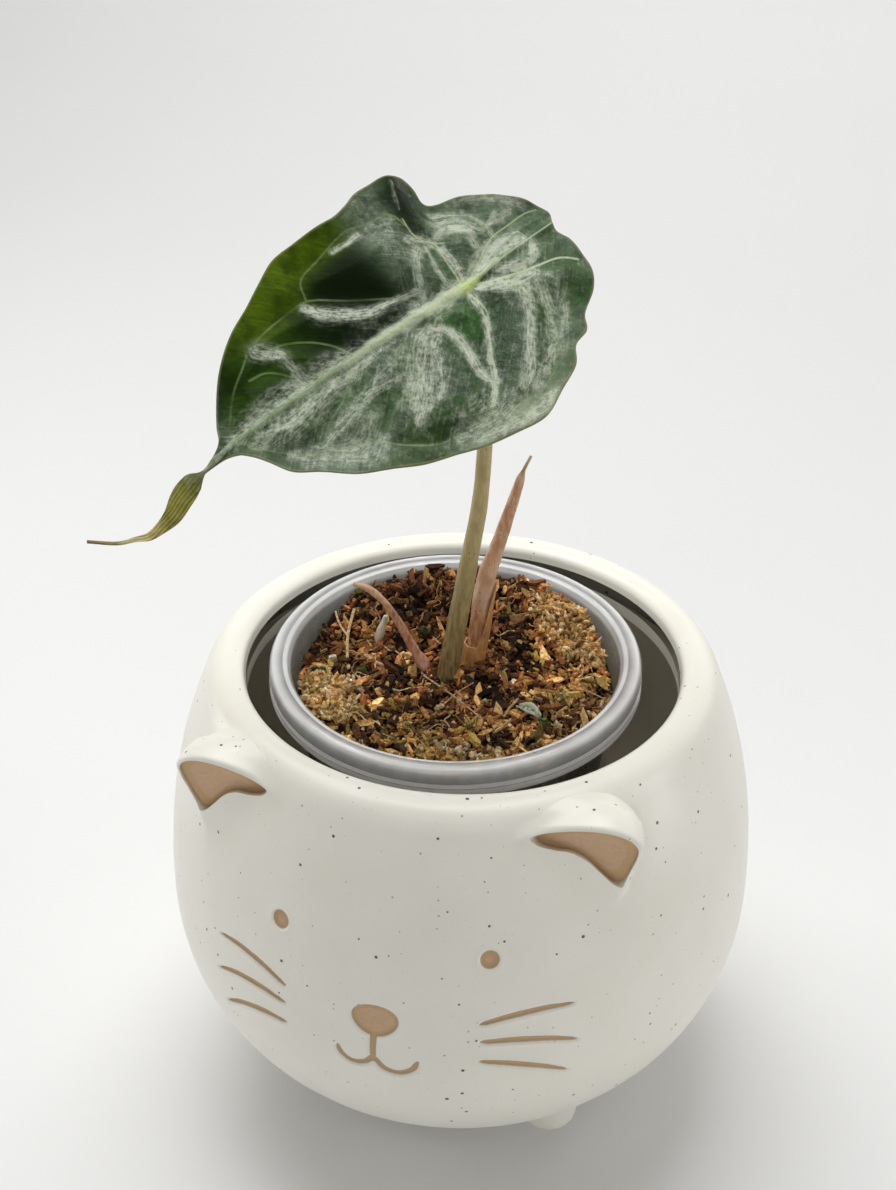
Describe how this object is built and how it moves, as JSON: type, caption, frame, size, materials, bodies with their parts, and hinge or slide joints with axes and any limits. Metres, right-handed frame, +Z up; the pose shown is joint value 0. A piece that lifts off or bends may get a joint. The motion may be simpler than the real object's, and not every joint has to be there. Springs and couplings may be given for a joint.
{
  "type": "potted venom alocasia",
  "caption": "House plant with one large shield-shaped leaf, rooted in growing mix in a clear cup inside a round four-footed ceramic planter with cat ears and a pressed cat face.",
  "frame": {"origin": "on the surface under the middle of the planter, at the bottom centre of the bounding box", "axes": "+Z up; the planter's cat face looks towards -Y, so +X is on the viewer's right; the leaf's tip points forward and left, towards -X and -Y"},
  "size_m": [0.152, 0.152, 0.2433],
  "materials": {
    "glaze": "satin warm white glaze with fine dark speckles; bare tan clay in the pressed face marks and the ears",
    "clear_plastic": "thin translucent clear plastic, slightly hazed",
    "mix": "coarse matte bark and coir chips with pale grains and roots",
    "moss": "matte dry tan sphagnum strands",
    "scrap": "matte pale grey green scrap of old leaf",
    "leaf": "glossy dark green quilted upper face with silvery veins and a pale midrib; paler olive below",
    "stalk": "olive tan stalk with fine dark flecks",
    "spear": "red-brown rolled new leaf with fine lengthwise lines",
    "dry_sheath": "papery orange-brown dry sheath",
    "old_stalk": "pinkish brown withered stalk with a cream dried end",
    "pale_bract": "dry whitish bract"
  },
  "bodies": {
    "root": {"planter": "glaze", "cup": "clear_plastic", "growing_mix": "mix", "moss_left": "moss", "moss_right": "moss", "leaf_scrap": "scrap", "petiole": "stalk", "leaf_blade": "leaf", "new_leaf": "spear", "sheath": "dry_sheath", "old_petiole": "old_stalk", "dry_bract": "pale_bract"}
  },
  "joints": []
}
